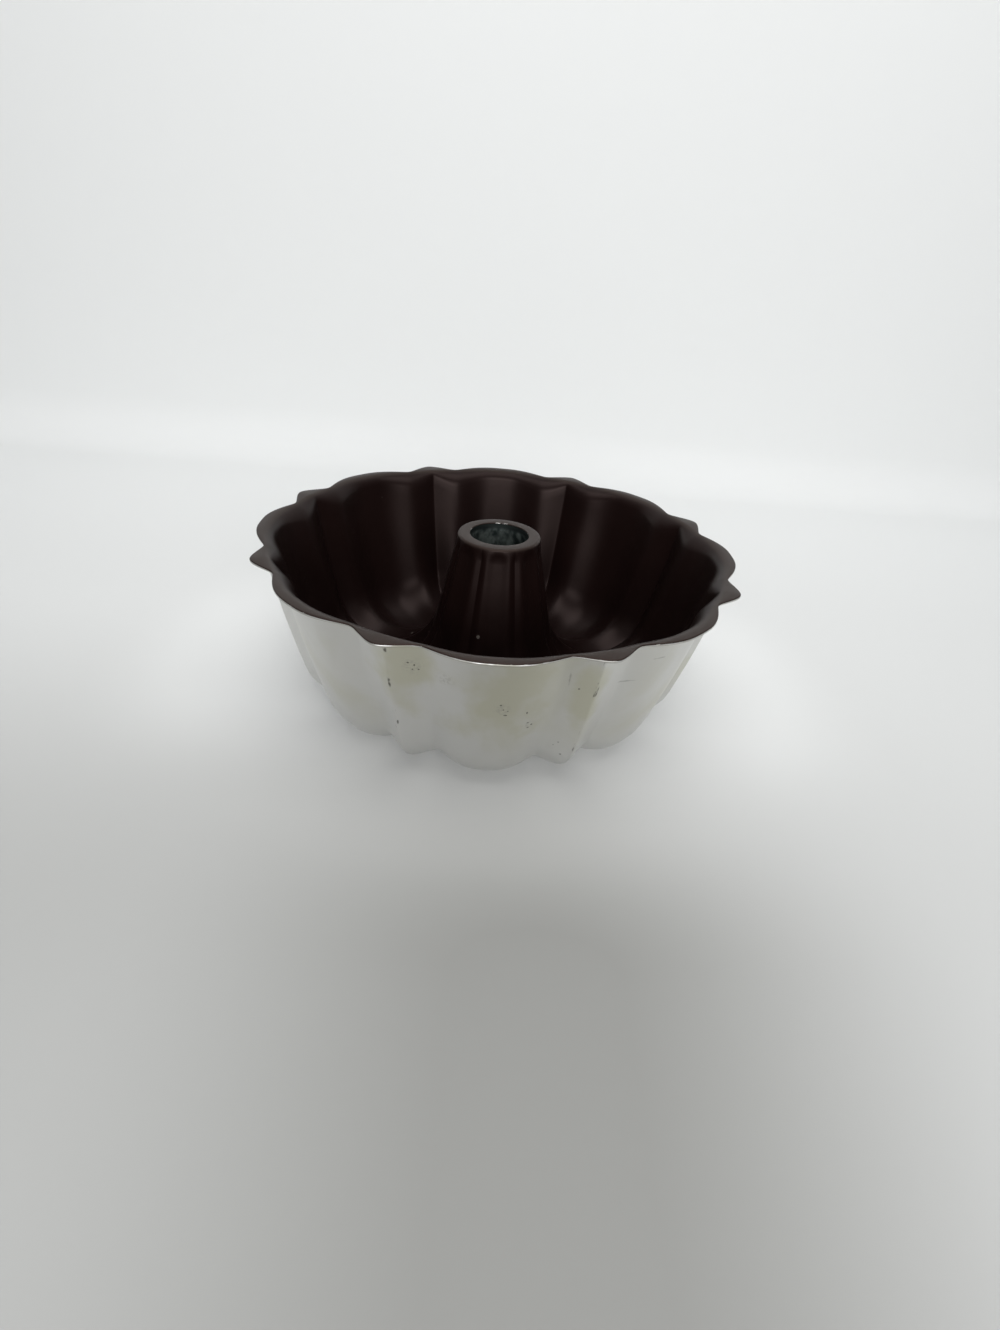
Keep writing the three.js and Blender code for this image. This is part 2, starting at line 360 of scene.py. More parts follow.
# %% Helpers for node trees
class Wire:
    """A value on its way through a node tree. Its operators add math nodes."""

    def __init__(self, socket):
        self.socket = socket
        self.tree = socket.id_data

    def math(self, operation, *others):
        """Adds one math node, with this value first."""
        node = self.tree.nodes.new("ShaderNodeMath")
        node.operation = operation
        for socket, value in zip(node.inputs, (self, *others)):
            plug(socket, value)
        return Wire(node.outputs[0])

    def __add__(self, other):
        return self.math("ADD", other)

    def __sub__(self, other):
        return self.math("SUBTRACT", other)

    def __rsub__(self, other):
        return self.math("MULTIPLY", -1).math("ADD", other)

    def __mul__(self, other):
        return self.math("MULTIPLY", other)

    def __truediv__(self, other):
        return self.math("DIVIDE", other)


def plug(socket, value):
    """Links a wire to a socket, or sets a plain value on it."""
    if isinstance(value, Wire):
        socket.id_data.links.new(value.socket, socket)
    else:
        socket.default_value = value


def add_node(tree, kind, inputs=None, **settings):
    """Adds a node with its settings, and fills its sockets by name or by place."""
    node = tree.nodes.new(kind)
    for name, value in settings.items():
        setattr(node, name, value)
    for name, value in (inputs or {}).items():
        plug(node.inputs[name], value)
    return node


def between(value, low, high):
    """A smooth step from 0 at the low value to 1 at the high one."""
    node = add_node(
        value.tree,
        "ShaderNodeMapRange",
        {"Value": value, "From Min": low, "From Max": high},
        interpolation_type="SMOOTHSTEP",
    )
    return Wire(node.outputs[0])


# %% [markdown]
# ## The fluted ring as a node tree
#
# Both pieces follow one rule, so one Geometry Nodes tree makes them. It takes a piece's outline as a row
# of points, with the steps from the valley's section to the wide and to the pointed one as attributes.
# A grid is laid out with a column for each direction and a row for each point of the outline. Every
# column then mixes the three sections by its place in its flute. Modelling one flute and repeating it
# would also work, but the rule keeps the wide and the pointed flutes in step all the way round.

# %% Sizes for the tree
FLUTE_SIZES = {
    "Wide Flutes": ("NodeSocketInt", 8),
    "Wide Half Angle": ("NodeSocketFloat", math.radians(14.7)),
    "Foot Half Angle": ("NodeSocketFloat", math.radians(2.2)),
    "Wide Softness": ("NodeSocketFloat", 0.08),
    "Point Softness": ("NodeSocketFloat", 0.25),
    "Inner Wide Softness": ("NodeSocketFloat", 0.25),
    "Inner Point Softness": ("NodeSocketFloat", 0.5),
    "Tip Softness": ("NodeSocketFloat", 0.04),
    "Lip Tip Softness": ("NodeSocketFloat", 0.24),
    "Wide Columns": ("NodeSocketInt", 14),
    "Point Columns": ("NodeSocketInt", 16),
    "Wide Facet": ("NodeSocketFloat", 1.2 * MM),
    "Point Facet": ("NodeSocketFloat", 1.1 * MM),
    "Facet Top": ("NodeSocketFloat", TUBE_TOP - 2.4 * MM),
    "Facet Arch": ("NodeSocketFloat", 2 * MM),
    "Facet Run": ("NodeSocketFloat", 2.4 * MM),
    "Lip Unevenness": ("NodeSocketFloat", 0.12 * MM),
    "Uneven Seed": ("NodeSocketFloat", 3.0),
}
print("named sizes of the fluted ring:", len(FLUTE_SIZES))

# %% [markdown]
# A flute is sharp where its share of a section changes at once, and soft where the share is eased. A
# plain smooth step would round every ridge alike, so the easing has a softness of its own for each.

# %% Columns round the pan
TURN = 2 * math.pi
VALLEY_CROWDING = 1.5  # above 1, columns of a wide flute stand closer together near its valleys
TIP_CROWDING = 0.6  # from 0 to 1, the same for a pointed flute near its valleys and its tip


def eased(share, softness):
    """Grows from 0 to 1, slowly at first over the given softness."""
    start = (share * share + softness * softness).math("SQRT") - softness
    return start / ((softness * softness + 1).math("SQRT") - softness)


def flute_columns(size, column, inner, lip):
    """The direction of a column, and its shares of the wide and the pointed section."""
    tip_soft = size["Tip Softness"] * (1 - lip) + size["Lip Tip Softness"] * lip
    wide_soft, point_soft = (
        size[f"{name} Softness"] * (1 - inner) + size[f"Inner {name} Softness"] * inner
        for name in ("Wide", "Point")
    )

    # The angle between the column and the middle of the nearest wide flute.
    wide_half = size["Wide Half Angle"]
    point_half = size["Wide Flutes"].math("POWER", -1) * math.pi - wide_half
    half = size["Wide Columns"] + size["Point Columns"]
    in_pair = column.math("MODULO", half * 2)
    from_middle = half - (half - in_pair).math("ABSOLUTE")
    wide_part = (from_middle / size["Wide Columns"]).math("MINIMUM", 1)
    point_part = (from_middle - size["Wide Columns"]).math("MAXIMUM", 0) / size["Point Columns"]
    in_wide = wide_half * (1 - (1 - wide_part).math("POWER", VALLEY_CROWDING))
    in_point = point_half * (point_part - (point_part * TURN).math("SINE") * (TIP_CROWDING / TURN))
    offset = in_wide + in_point

    # Past a pointed flute's tip, the nearest wide flute is the next one and the angle turns back.
    returning = in_pair.math("GREATER_THAN", half)
    middle = (column / (half * 2)).math("FLOOR") + returning
    direction = middle * TURN / size["Wide Flutes"] + offset * (1 - returning * 2)

    # The shares: full on a flute's foot or tip, and nothing at the valley.
    foot = size["Foot Half Angle"]
    past_foot = (offset - foot).math("MAXIMUM", 0) / (wide_half - foot)
    wide = eased((1 - past_foot).math("MAXIMUM", 0), wide_soft)
    to_tip = (1 - (offset - wide_half) / point_half).math("MINIMUM", 1)
    blunt = 1 - eased(to_tip, tip_soft)
    return direction, (wide * (math.pi / 2)).math("SINE"), eased(blunt, point_soft)


# %% [markdown]
# The outline, the sizes above and the finish are inputs of the tree, so a size can be changed on the
# modifier without touching a node. A point of the grid knows only its number. Its row and its column
# follow from that number, and the row looks up what the outline says there.

# %% Sockets, rows and columns of the tree
def tree_with_sockets():
    """A tree with an input for the outline, each size and the finish, and the wires from them."""
    tree = bpy.data.node_groups.new("fluted_ring", "GeometryNodeTree")
    tree.interface.new_socket("Outline", in_out="INPUT", socket_type="NodeSocketGeometry")
    for name, (kind, _) in FLUTE_SIZES.items():
        tree.interface.new_socket(name, in_out="INPUT", socket_type=kind)
    tree.interface.new_socket("Finish", in_out="INPUT", socket_type="NodeSocketMaterial")
    tree.interface.new_socket("Ring", in_out="OUTPUT", socket_type="NodeSocketGeometry")
    given = tree.nodes.new("NodeGroupInput")
    return tree, {name: Wire(given.outputs[name]) for name in ("Outline", *FLUTE_SIZES, "Finish")}


def grid_of_rows(tree, size):
    """A flat grid, and the row and the column of each of its points."""
    count = add_node(
        tree,
        "GeometryNodeAttributeDomainSize",
        {"Geometry": size["Outline"]},
        component="MESH",
    )
    rows = Wire(count.outputs["Point Count"])
    columns = (size["Wide Columns"] + size["Point Columns"]) * 2 * size["Wide Flutes"]
    # The last row and the last column lie on the first ones and are merged with them later.
    grid = add_node(
        tree,
        "GeometryNodeMeshGrid",
        {"Vertices X": columns + 1, "Vertices Y": rows + 1},
    )
    index = Wire(tree.nodes.new("GeometryNodeInputIndex").outputs[0])
    column = (index / (rows + 1)).math("FLOOR").math("MODULO", columns)
    row = index.math("MODULO", rows + 1).math("MODULO", rows)
    return Wire(grid.outputs["Mesh"]), row, column


def outline_value(outline, data_type, name, row):
    """An attribute of the outline at a row."""
    tree = row.tree
    attribute = add_node(tree, "GeometryNodeInputNamedAttribute", {"Name": name}, data_type=data_type)
    sample = add_node(
        tree,
        "GeometryNodeSampleIndex",
        {"Geometry": outline, "Value": Wire(attribute.outputs[0]), "Index": row},
        data_type=data_type,
        domain="POINT",
    )
    return Wire(sample.outputs[0])


# %% [markdown]
# Three things set how far a point lies from the axis: the blend of the sections, the facets that hollow
# the tube under its collar, and a slight unevenness of the lip, which no casting is without.

# %% Radius and height of a point
RIPPLES, RIPPLE_DETAIL = 9, 3  # noise along the lip, on a circle of radius 1
LIP_BAND = 3 * MM  # height over which the unevenness fades in
OFF_THE_TUBE = (80 * MM, 100 * MM)  # radius that keeps it off the tube's top, as high as the lip


def blended_section(size, row, wide, point):
    """Radius and height on the section that a column makes of the three."""
    places = []
    for name in ("section", "to_wide", "to_pointed"):
        vector = outline_value(size["Outline"], "FLOAT_VECTOR", name, row)
        split = add_node(row.tree, "ShaderNodeSeparateXYZ", {"Vector": vector})
        places.append((Wire(split.outputs["X"]), Wire(split.outputs["Z"])))
    return [
        start + to_wide * wide + to_pointed * point
        for start, to_wide, to_pointed in zip(*places)
    ]


def facet_hollow(size, row, height, wide, point):
    """Depth of the tube's facets, which end in an arch under the collar."""
    facet = outline_value(size["Outline"], "FLOAT", "facet", row)
    facet_top = size["Facet Top"] - size["Facet Arch"] * (1 - wide.math("MAXIMUM", point))
    below_top = 1 - between(height, facet_top - size["Facet Run"], facet_top)
    return facet * below_top * (wide * size["Wide Facet"] + point * size["Point Facet"])


def lip_unevenness(size, direction, radius, height):
    """How far the lip falls short of its even outline."""
    around = add_node(
        direction.tree,
        "ShaderNodeCombineXYZ",
        {"X": direction.math("COSINE"), "Y": direction.math("SINE"), "Z": size["Uneven Seed"]},
    )
    ripple = add_node(
        direction.tree,
        "ShaderNodeTexNoise",
        {"Vector": Wire(around.outputs[0]), "Scale": RIPPLES, "Detail": RIPPLE_DETAIL},
    )
    near_lip = between(height, RIM_HEIGHT - LIP_BAND, RIM_HEIGHT) * between(radius, *OFF_THE_TUBE)
    return Wire(ripple.outputs[0]) * size["Lip Unevenness"] * near_lip


# %% [markdown]
# The last cell of this step puts the parts together. The grid moves to its place, keeps two values that
# the finishes need, is closed along its seam and gets its material.

# %% The tree
SEAM = 0.001 * MM  # points this close are the two sides of the grid's seam


def passed_on(kind, geometry, inputs=None, **settings):
    """Adds a node that takes a geometry and passes it on changed."""
    node = add_node(geometry.tree, kind, {"Geometry": geometry, **(inputs or {})}, **settings)
    return Wire(node.outputs[0])


def fluted_ring_tree():
    """A tree that turns an outline with its flute attributes into a closed fluted ring."""
    tree, size = tree_with_sockets()
    grid, row, column = grid_of_rows(tree, size)
    inner, lip, from_edge = (
        outline_value(size["Outline"], "FLOAT", name, row) for name in ("inner", "lip", "from_edge")
    )
    direction, wide, point = flute_columns(size, column, inner, lip)
    radius, height = blended_section(size, row, wide, point)
    hollow = facet_hollow(size, row, height, wide, point)
    reach = radius - hollow - lip_unevenness(size, direction, radius, height)
    spot = add_node(
        tree,
        "ShaderNodeCombineXYZ",
        {"X": reach * direction.math("COSINE"), "Y": reach * direction.math("SINE"), "Z": height},
    )
    ring = passed_on("GeometryNodeSetPosition", grid, {"Position": Wire(spot.outputs[0])})
    for name, value in {"pointed": point, "from_edge": from_edge}.items():
        ring = passed_on(
            "GeometryNodeStoreNamedAttribute",
            ring,
            {"Name": name, "Value": value},
            data_type="FLOAT",
            domain="POINT",
        )
    ring = passed_on("GeometryNodeMergeByDistance", ring, {"Distance": SEAM})
    ring = passed_on("GeometryNodeSetShadeSmooth", ring)
    ring = passed_on("GeometryNodeRealizeInstances", ring)
    ring = passed_on("GeometryNodeSetMaterial", ring, {"Material": size["Finish"]})
    finished = tree.nodes.new("NodeGroupOutput")
    plug(finished.inputs["Ring"], ring)
    return tree


ring_tree = fluted_ring_tree()
print("nodes in the fluted ring's tree:", len(ring_tree.nodes))

# %% [markdown]
# ## From an outline to a finished mesh
#
# The outline becomes a small mesh of loose points, the tree builds the ring on it, and the result is
# read back as a plain mesh. A value for wear along an edge could be painted by hand. Here each row takes
# its distance along the outline from the rows where its piece ends.

# %% An outline as loose points
def distance_from_ends(outline, ends):
    """Distance of each row from the nearest of some end rows, measured along the outline."""
    run = [0.0]
    for here, there in zip(outline, outline[1:]):
        run.append(run[-1] + (there[0] - here[0]).length)
    return [min(abs(length - run[end]) for end in ends) for length in run]


def outline_mesh(name, make_outline, ends):
    """Loose points along an outline, with what the tree has to know about each."""
    valley = make_outline(VALLEY)
    mesh = bpy.data.meshes.new(name)
    mesh.vertices.add(len(valley))

    def write(attribute, kind, key, values):
        layer = mesh.attributes.new(attribute, kind, "POINT")
        layer.data.foreach_set(key, values)

    def flat(vectors):
        return [number for vector in vectors for number in (vector.x, 0.0, vector.y)]

    start = [row[0] for row in valley]
    write("section", "FLOAT_VECTOR", "vector", flat(start))
    for attribute, section in {"to_wide": WIDE, "to_pointed": POINTED}.items():
        steps = [row[0] - origin for row, origin in zip(make_outline(section), start)]
        write(attribute, "FLOAT_VECTOR", "vector", flat(steps))
    for place, attribute in enumerate(("facet", "inner", "lip"), start=1):
        write(attribute, "FLOAT", "value", [row[place] for row in valley])
    write("from_edge", "FLOAT", "value", distance_from_ends(valley, ends))
    return mesh


# %% Making a ring
def fluted_ring(name, make_outline, ends, finish):
    """A closed fluted ring with one material."""
    piece = bpy.data.objects.new(name, outline_mesh(name, make_outline, ends))
    bpy.context.scene.collection.objects.link(piece)
    modifier = piece.modifiers.new("fluted_ring", "NODES")
    modifier.node_group = ring_tree
    sockets = {item.name: item.identifier for item in ring_tree.interface.items_tree}
    for size_name, (_, value) in FLUTE_SIZES.items():
        modifier[sockets[size_name]] = value
    modifier[sockets["Finish"]] = finish
    view = bpy.context.evaluated_depsgraph_get()
    mesh = bpy.data.meshes.new_from_object(
        piece.evaluated_get(view), preserve_all_data_layers=True, depsgraph=view
    )
    piece.modifiers.remove(modifier)
    piece.data = mesh
    return piece


# %% [markdown]
# ## Tools for finishes
#
# Both finishes are built from the same few ideas: noise for what drifts over the surface, round marks at
# known places for single pits and stains, and values that the mesh carries for wear along its edges.
# Object coordinates are metres in the pan's own frame, so every size below can be read with a ruler.

# %% Coordinates and noise
def object_coordinates(tree):
    """Coordinates of the piece in metres."""
    return Wire(tree.nodes.new("ShaderNodeTexCoord").outputs["Object"])


def stretched(coordinates, scale):
    """Coordinates multiplied along each axis."""
    node = add_node(coordinates.tree, "ShaderNodeMapping", {"Vector": coordinates, "Scale": scale})
    return Wire(node.outputs[0])


def radius_and_height(coordinates):
    """Distance from the pan's axis and height above the floor, in metres."""
    axes = add_node(coordinates.tree, "ShaderNodeSeparateXYZ", {"Vector": coordinates})
    x, y, height = (Wire(axes.outputs[axis]) for axis in "XYZ")
    return (x * x + y * y).math("SQRT"), height


def noise(coordinates, scale, detail=3.0, roughness=0.5, distortion=0.0):
    """Noise from 0 to 1 with features of about one over the scale, in metres."""
    node = add_node(
        coordinates.tree,
        "ShaderNodeTexNoise",
        {
            "Vector": coordinates,
            "Scale": scale,
            "Detail": detail,
            "Roughness": roughness,
            "Distortion": distortion,
        },
    )
    return Wire(node.outputs[0])


# %% Specks and marks
SPECK_CORE = 0.6  # share of a speck's radius at which it starts to fade
NOISE_MIDDLE = 0.5
RAGGEDNESS = 1.6  # shift of a mark's edge, in reaches, as the noise goes from 0 to 1


def specks(coordinates, spacing, radius, share):
    """Round specks on a jumbled grid, in a share of its cells."""
    cells = add_node(
        coordinates.tree,
        "ShaderNodeTexVoronoi",
        {"Vector": coordinates, "Scale": 1 / spacing},
    )
    pick = add_node(
        coordinates.tree, "ShaderNodeSeparateColor", {"Color": Wire(cells.outputs["Color"])}
    )
    chosen = Wire(pick.outputs[0]).math("LESS_THAN", share)
    size = radius / spacing
    return (1 - between(Wire(cells.outputs["Distance"]), size * SPECK_CORE, size)) * chosen


def mark(coordinates, place, reach, ragged, softness):
    """A mark round a place, with a reach along each axis in millimetres and a ragged edge."""
    scale = Vector((1 / reach[0], 1 / reach[1], 1 / reach[2])) / MM
    offset = Vector([-at * MM * size for at, size in zip(place, scale)])
    moved = add_node(
        coordinates.tree,
        "ShaderNodeMapping",
        {"Vector": coordinates, "Location": offset, "Scale": scale},
    )
    length = add_node(
        coordinates.tree,
        "ShaderNodeVectorMath",
        {0: Wire(moved.outputs[0])},
        operation="LENGTH",
    )
    distance = Wire(length.outputs["Value"]) + (ragged - NOISE_MIDDLE) * RAGGEDNESS
    return 1 - between(distance, 1 - softness, 1)


def all_marks(coordinates, marks, ragged, softness=0.3):
    """Several marks in one mask, each a place and its reach."""
    mask = None
    for place, reach in marks:
        single = mark(coordinates, place, reach, ragged, softness)
        mask = single if mask is None else mask.math("MAXIMUM", single)
    return mask


# %% Colour, bump and materials
# A Mix node has a set of sockets for each kind of data. These are the places of those for colours.
MIX_SHARE, MIX_FIRST, MIX_SECOND, MIX_RESULT = 0, 6, 7, 2


def mixed(share, first, second):
    """A colour between two, the first at a share of 0 and the second at 1."""
    colours = [(*colour, 1) if isinstance(colour, tuple) else colour for colour in (first, second)]
    node = add_node(
        share.tree,
        "ShaderNodeMix",
        {MIX_SHARE: share, MIX_FIRST: colours[0], MIX_SECOND: colours[1]},
        data_type="RGBA",
    )
    return Wire(node.outputs[MIX_RESULT])


def bumped(height, depth, under=None):
    """A bump of a depth in metres, on top of another bump if one is given."""
    node = add_node(height.tree, "ShaderNodeBump", {"Height": height, "Distance": depth})
    if under:
        plug(node.inputs["Normal"], under)
    return Wire(node.outputs[0])


def surface_value(tree, name):
    """A value that the mesh carries at its points."""
    return Wire(add_node(tree, "ShaderNodeAttribute", attribute_name=name).outputs["Fac"])


def new_finish(name):
    """An empty material and its main shader."""
    finish = bpy.data.materials.new(name)
    finish.use_nodes = True
    return finish, finish.node_tree, finish.node_tree.nodes["Principled BSDF"]


# %% [markdown]
# ## Cast aluminium
#
# The outside is bare cast aluminium, polished once and dulled by years of ovens and sinks. It mirrors
# the pale floor in broad soft patches. Olive heat stains with soft edges lie on the flutes and fade out
# towards the foot. The underside is darkened as painted shade, so that little light bounces under the
# pan. One noise could place all the stains, but the three that show most are listed one by one, where
# the real pan has them.

# %% Clean and stained metal, and painted shade under the pan
CLEAN_METAL = (0.67, 0.668, 0.655)
DULL_METAL = (0.6, 0.595, 0.57)
STAINED_METAL = (0.56, 0.55, 0.455)
UNDERSIDE_SHADE_METAL = (0.3, 0.29, 0.265)
# Every mark in this and later lists is a place and a reach along each axis, in millimetres.
STAINS = [
    ((7, -118, 71), (34, 40, 48)),
    ((-38, -111, 76), (17, 30, 34)),
    ((40, -108, 64), (13, 30, 36)),
]
STAIN_SOFTNESS, STAIN_STRENGTH = 0.75, 0.95
PATCH_LEVELS, PATCH_STRENGTH = (0.5, 0.68), 0.6  # part of the noise that makes fainter stains
STAIN_HEIGHTS = (12 * MM, 45 * MM)  # no stains below the first, all of them above the second
UNDERSIDE = (68 * MM, 80 * MM)  # radius at which the painted shade under the pan ends
CLOUD_SCALE, PATCH_SCALE, RAGGED_SCALE, FINE_SCALE = 16, 13, 55, 420

cast_aluminium, tree, shader = new_finish("cast_aluminium")
spot = object_coordinates(tree)
radius, height = radius_and_height(spot)
clouds = noise(spot, CLOUD_SCALE, detail=4)
ragged = noise(spot, RAGGED_SCALE)
fine = noise(spot, FINE_SCALE)

patches = between(noise(spot, PATCH_SCALE, detail=4, distortion=0.6), *PATCH_LEVELS) * PATCH_STRENGTH
stains = patches.math("MAXIMUM", all_marks(spot, STAINS, ragged, STAIN_SOFTNESS))
stains = stains * between(height, *STAIN_HEIGHTS)
colour = mixed(clouds, CLEAN_METAL, DULL_METAL)
colour = mixed(stains * STAIN_STRENGTH, colour, STAINED_METAL)
# Painted shade: the underside is darkened so that the floor under the pan gets less bounced light.
colour = mixed(1 - between(radius, *UNDERSIDE), colour, UNDERSIDE_SHADE_METAL)
print("stains set by hand:", len(STAINS))

# %% [markdown]
# The bore was never polished. It is a blotchy grey green, drawn out a little along the tube. Just under
# the ring it is darkened as painted shade. The same material covers it, because it is the same casting:
# the distance from the axis tells where it is.

# %% Bore of the tube
BORE_DARK = (0.045, 0.062, 0.059)
BORE_PALE = (0.25, 0.285, 0.27)
BORE_RING_SHADE = (0.012, 0.014, 0.0135)
BLOTCH_SCALE, BLOTCH_LEVELS = 250, (0.32, 0.66)
BLOTCH_STRETCH = (1, 1, 0.5)
BLOTCHES_END = (TUBE_TOP - 5.1 * MM, TUBE_TOP - 1.6 * MM)
RING_SHADE_HEIGHTS, RING_SHADE_STRENGTH = (TUBE_TOP - 5.6 * MM, TUBE_TOP - 2.6 * MM), 0.85
BORE_REACH = (24 * MM, 30 * MM)  # radius at which the bore's colour ends

blotches = between(noise(stretched(spot, BLOTCH_STRETCH), BLOTCH_SCALE, detail=4), *BLOTCH_LEVELS)
in_bore = 1 - between(radius, *BORE_REACH)
# Painted shade under the ring: the blotches end towards the top in the dark colour, and a darker band
# follows.
bore_metal = mixed(blotches * (1 - between(height, *BLOTCHES_END)), BORE_DARK, BORE_PALE)
bore_metal = mixed(between(height, *RING_SHADE_HEIGHTS) * RING_SHADE_STRENGTH, bore_metal, BORE_RING_SHADE)
colour = mixed(in_bore, colour, bore_metal)
print("nodes in the aluminium so far:", len(tree.nodes))

# %% [markdown]
# Wear comes next. A few pits sit in the front flute, with grime round them, single scratches cross the
# metal, and the sharp tips of the pointed flutes are rubbed dark in places. Pits, grime and scratches
# have known places. The rubbed tips follow a value that the mesh carries, so they run along every tip.

# %% Places of the wear
PITS = [
    ((3.9, -117.1, 62.2), (0.55, 3, 0.55)),
    ((6.3, -115.2, 55.8), (1.1, 3, 0.5)),
    ((7.2, -116.2, 58.6), (0.4, 3, 0.4)),
    ((5.2, -116.5, 59.4), (0.35, 3, 0.35)),
    ((15.8, -113, 56.2), (0.4, 3, 0.9)),
    ((16.8, -110.2, 49.2), (0.7, 3, 0.4)),
    ((18.6, -110, 47.4), (0.5, 3, 0.6)),
    ((17.2, -109.6, 45.6), (0.7, 3, 0.35)),
    ((35.5, -97.5, 22.1), (0.5, 3, 0.5)),
    ((33.3, -99.8, 31.1), (0.4, 3, 0.4)),
    ((31.2, -99.2, 28.5), (0.3, 3, 0.4)),
    ((-41.7, -102.8, 39), (0.5, 3, 1.5)),
    ((37.3, -109.3, 68.2), (0.5, 3, 0.4)),
    ((-36.5, -111, 76.8), (0.5, 3, 0.5)),
    ((-33.8, -110.8, 75.6), (0.4, 3, 0.6)),
    ((-32, -110.6, 73.4), (0.5, 3, 0.4)),
    ((-34.6, -110.6, 73.2), (0.35, 3, 0.35)),
]
GRIME = [
    ((-35, -111, 75), (6, 8, 6)),
    ((-20, -116, 72), (6, 8, 5)),
    ((17, -111, 48), (4, 8, 4)),
    ((5.4, -116, 59), (4, 8, 5)),
]
SCRATCHES = [
    ((32.5, -110.6, 73.8), (0.5, 4, 5.5)),
    ((60, -96.4, 65.6), (6, 6, 0.6)),
    ((73.6, -94.5, 77.8), (4, 6, 0.5)),
]
print("pits, grime and scratches:", len(PITS), len(GRIME), len(SCRATCHES))

# %% Wear on the metal
PIT_COLOUR = (0.1, 0.095, 0.085)
RUBBED_COLOUR = (0.16, 0.15, 0.13)
GRIMY_METAL = (0.38, 0.365, 0.335)
TIP_LEVELS = (0.95, 0.985)  # share of the pointed section that counts as its tip
OUTER_WALL = (85 * MM, 90 * MM)
WALL_END = (RIM_HEIGHT - 3.5 * MM, RIM_HEIGHT - 2.5 * MM)
RUB_SCALE, RUB_LEVELS = 230, (0.56, 0.66)
RUB_STRETCH = (1, 1, 0.35)
PIT_SPACING, PIT_RADIUS, PIT_SHARE = 9 * MM, 0.35 * MM, 0.12  # small pits all over
PIT_STRENGTH = 0.75
GRIME_SCALE, GRIME_LEVELS = 700, (0.42, 0.62)
GRIME_SOFTNESS, GRIME_STRENGTH = 0.9, 0.4
SCRATCH_SOFTNESS, SCRATCH_STRENGTH = 0.8, 0.3

tip = between(surface_value(tree, "pointed"), *TIP_LEVELS)
on_wall = between(radius, *OUTER_WALL) * (1 - between(height, *WALL_END))
rubbed = tip * on_wall * between(noise(stretched(spot, RUB_STRETCH), RUB_SCALE), *RUB_LEVELS)
small_pits = specks(spot, PIT_SPACING, PIT_RADIUS, PIT_SHARE)
pits = all_marks(spot, PITS, fine).math("MAXIMUM", small_pits)
grime = all_marks(spot, GRIME, ragged, GRIME_SOFTNESS)
grime = grime * between(noise(spot, GRIME_SCALE), *GRIME_LEVELS)
scratches = all_marks(spot, SCRATCHES, fine, SCRATCH_SOFTNESS)
colour = mixed(grime * GRIME_STRENGTH, colour, GRIMY_METAL)
colour = mixed(scratches * SCRATCH_STRENGTH, colour, PIT_COLOUR)
colour = mixed(rubbed, colour, RUBBED_COLOUR)
colour = mixed(pits * PIT_STRENGTH, colour, PIT_COLOUR)
print("nodes in the aluminium with its wear:", len(tree.nodes))

# %% [markdown]
# The thin edge of the lip is grimy, and scraped bright along its top. What is left is gloss and relief:
# clouds and stains are a little duller than the rest, the bore is duller still, and three bumps on top
# of each other give the casting its waves, its grain and its pits.

# %% Edge, gloss and relief of the metal
SCRAPED_METAL = (0.7, 0.695, 0.68)
EDGE_HEIGHTS = (LIP_UNDERSIDE - 0.3 * MM, LIP_UNDERSIDE)
EDGE_RADII = (110 * MM, 115 * MM)
EDGE_TOP = (RIM_HEIGHT - 1.3 * MM, RIM_HEIGHT - MM)
EDGE_GRIME = 0.45
SCRAPE_SCALE, SCRAPE_LEVELS = 160, (0.38, 0.56)
METAL_ROUGHNESS = 0.32
CLOUD_DULLNESS, STAIN_DULLNESS, FINE_DULLNESS = 0.1, 0.06, 0.06
BORE_DULLNESS, PIT_DULLNESS, EDGE_DULLNESS = 0.3, 0.2, 0.15
GRAIN_SCALE = 1500
WAVE_DEPTH, GRAIN_DEPTH, PIT_DEPTH = 0.4 * MM, 0.0015 * MM, 0.12 * MM

on_lip = between(height, *EDGE_HEIGHTS) * between(radius, *EDGE_RADII)
scraped = on_lip * between(height, *EDGE_TOP) * between(noise(spot, SCRAPE_SCALE, detail=4), *SCRAPE_LEVELS)
colour = mixed(on_lip * EDGE_GRIME, colour, GRIMY_METAL)
colour = mixed(scraped, colour, SCRAPED_METAL)
plug(shader.inputs["Base Color"], colour)
shader.inputs["Metallic"].default_value = 1
dullness = clouds * CLOUD_DULLNESS + stains * STAIN_DULLNESS + fine * FINE_DULLNESS + METAL_ROUGHNESS
dullness = dullness + in_bore * BORE_DULLNESS + pits * PIT_DULLNESS + (on_lip - scraped) * EDGE_DULLNESS
plug(shader.inputs["Roughness"], dullness)
casting_skin = bumped(clouds, WAVE_DEPTH)
casting_skin = bumped(noise(spot, GRAIN_SCALE, detail=2), GRAIN_DEPTH, casting_skin)
casting_skin = bumped(1 - pits.math("MAXIMUM", rubbed), PIT_DEPTH, casting_skin)
plug(shader.inputs["Normal"], casting_skin)
print("nodes in the aluminium:", len(tree.nodes))

# %% [markdown]
# ## The non-stick coating
#
# The coating is a thin dark brown film with a satin sheen. Sprayed films are never quite even, so its
# colour and gloss drift a little. The lip's top and the tube's ring are painted paler and warmer, as a
# painted sheen. Dark scuffs and pale specks of dust have known places, and finer dust is strewn over the
# rest.

